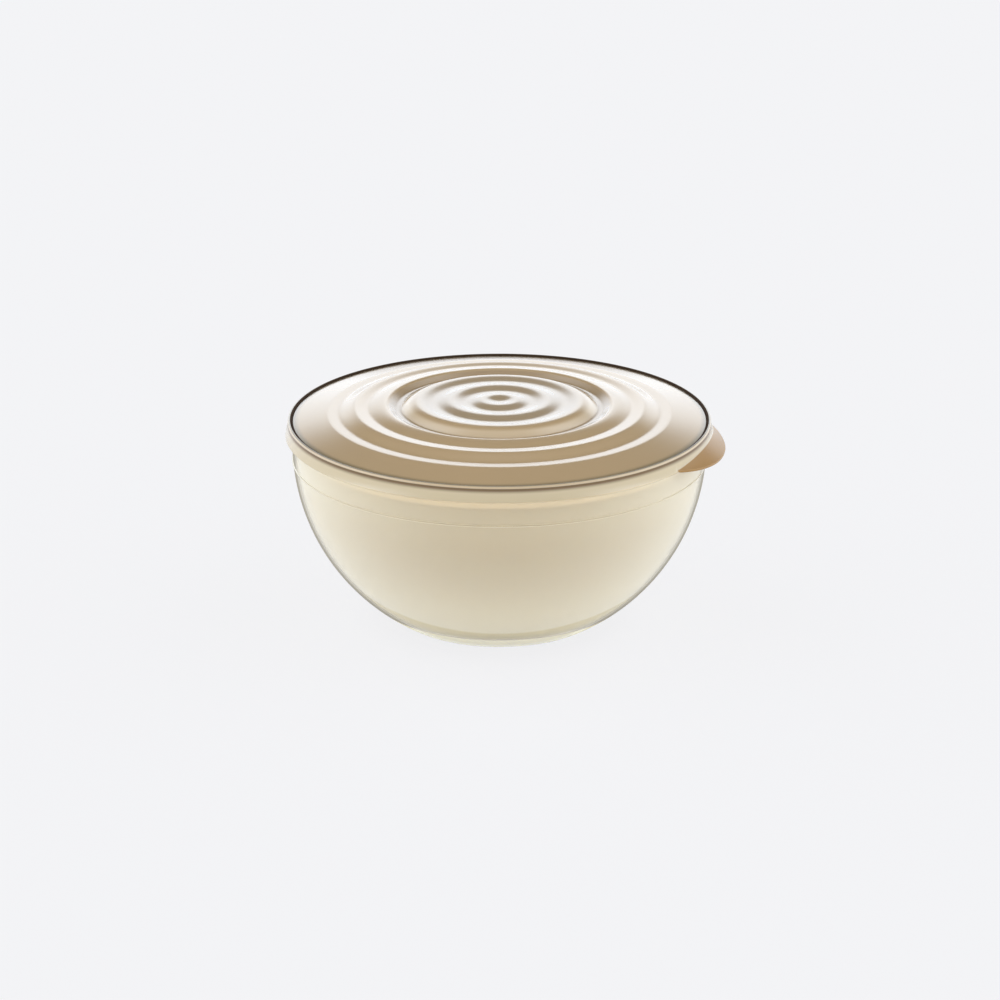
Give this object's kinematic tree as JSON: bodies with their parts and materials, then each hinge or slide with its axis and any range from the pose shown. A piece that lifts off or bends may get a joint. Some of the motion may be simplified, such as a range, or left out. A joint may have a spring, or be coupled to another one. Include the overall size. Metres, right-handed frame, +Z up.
{
  "type": "lidded bowl",
  "caption": "Round plastic serving bowl on a foot ring, with an outer shell, an opaque liner and a domed, rippled lift-off lid that has a stacking groove, a flared skirt and a pull tab.",
  "frame": {"origin": "on the table surface, under the bowl's axis, at the centre of the foot ring", "axes": "+Z up along the bowl's axis, +X towards the lid's pull tab, +Y square to both"},
  "size_m": [0.2586, 0.25, 0.1311],
  "materials": {
    "shell_plastic": "glossy, pale, slightly see-through",
    "liner_plastic": "glossy opaque cream",
    "lid_plastic": "glossy taupe"
  },
  "bodies": {
    "bowl": {"bowl_shell": "shell_plastic", "bowl_liner": "liner_plastic"},
    "lid": {"lid": "lid_plastic"}
  },
  "joints": [
    {"name": "lid_lift", "type": "slide", "parent": "bowl", "child": "lid", "axis": [0, 0, 1], "range_m": [0, 0.2]}
  ]
}
